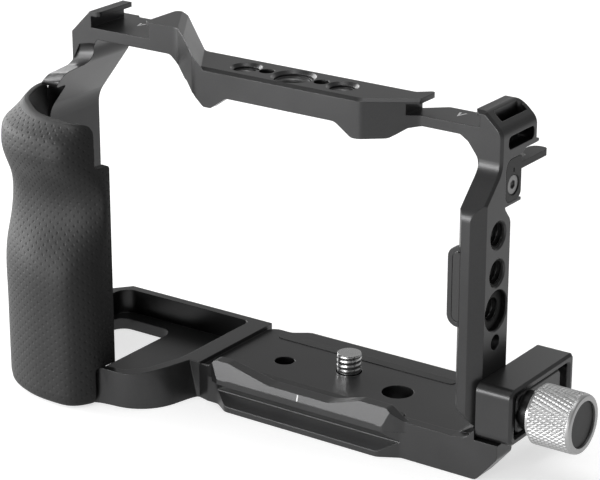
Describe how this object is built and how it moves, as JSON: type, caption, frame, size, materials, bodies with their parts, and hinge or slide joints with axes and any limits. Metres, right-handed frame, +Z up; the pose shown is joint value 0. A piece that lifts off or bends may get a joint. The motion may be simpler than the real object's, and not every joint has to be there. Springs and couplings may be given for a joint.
{
  "type": "camera cage",
  "caption": "Metal camera cage with top plate, two accessory shoes, thread holes, a soft hand grip, a side cable clamp with knurled knob and a quick-release base.",
  "frame": {"origin": "middle of the quick-release foot on the bottom face, under the lens axis", "axes": "+X to the right of a viewer who faces the lens, +Y to the back of the camera, +Z up"},
  "size_m": [0.1572, 0.0596, 0.0928],
  "materials": {
    "black_anodised": "fine matt anodised, near black",
    "knurled_metal": "diamond knurled, worn bright on the points",
    "bright_steel": "turned",
    "dark_steel": "black oxide",
    "nickel": "plated",
    "white_mark": "paint filled",
    "black_rubber": "matt",
    "black_silicone": "matt with small round dimples"
  },
  "bodies": {
    "frame": {"cage_frame": "black_anodised", "top_quarter_inserts": "bright_steel", "top_large_insert": "bright_steel", "side_quarter_inserts": "dark_steel", "thread_reducer": "dark_steel", "index_mark": "white_mark", "shoe_marks": "white_mark", "seat_pads": "black_rubber", "tab_pad": "black_rubber", "strap_lug_bracket": "black_anodised", "strap_lug_screw": "bright_steel", "clamp_block": "black_anodised", "clamp_stud": "bright_steel", "screw_snap_ring": "dark_steel", "key_magnets": "nickel", "grip_skin": "black_silicone"},
    "clamp_loop": {"clamp_loop": "black_anodised", "clamp_pad": "black_rubber"},
    "clamp_collar": {"clamp_collar": "bright_steel"},
    "clamp_knob": {"clamp_knob": "knurled_metal", "knob_cap": "black_anodised"},
    "camera_screw": {"camera_screw": "bright_steel"},
    "hex_key": {"hex_key": "dark_steel"}
  },
  "joints": [
    {"name": "loop_slide", "type": "slide", "parent": "frame", "child": "clamp_loop", "axis": [0, 1, 0], "range_m": [-0.0028, 0.0013]},
    {"name": "knob_turn", "type": "hinge", "parent": "clamp_collar", "child": "clamp_knob", "pos_m": [0.066, -0.0076, 0.0171], "axis": [1, 0, 0], "range_deg": [0, 722]},
    {"name": "collar_travel", "type": "slide", "parent": "frame", "child": "clamp_collar", "axis": [1, 0, 0], "range_m": [0, 0.0014]},
    {"name": "camera_screw_turn", "type": "hinge", "parent": "frame", "child": "camera_screw", "pos_m": [0, 0.004, 0.003], "axis": [0, 0, 1], "continuous": true},
    {"name": "key_pull", "type": "slide", "parent": "frame", "child": "hex_key", "axis": [0, 0, -1], "range_m": [0, 0.012]}
  ],
  "couplings": [
    {"joint": "knob_turn", "follows": "collar_travel", "rad_per_m": 8976}
  ]
}
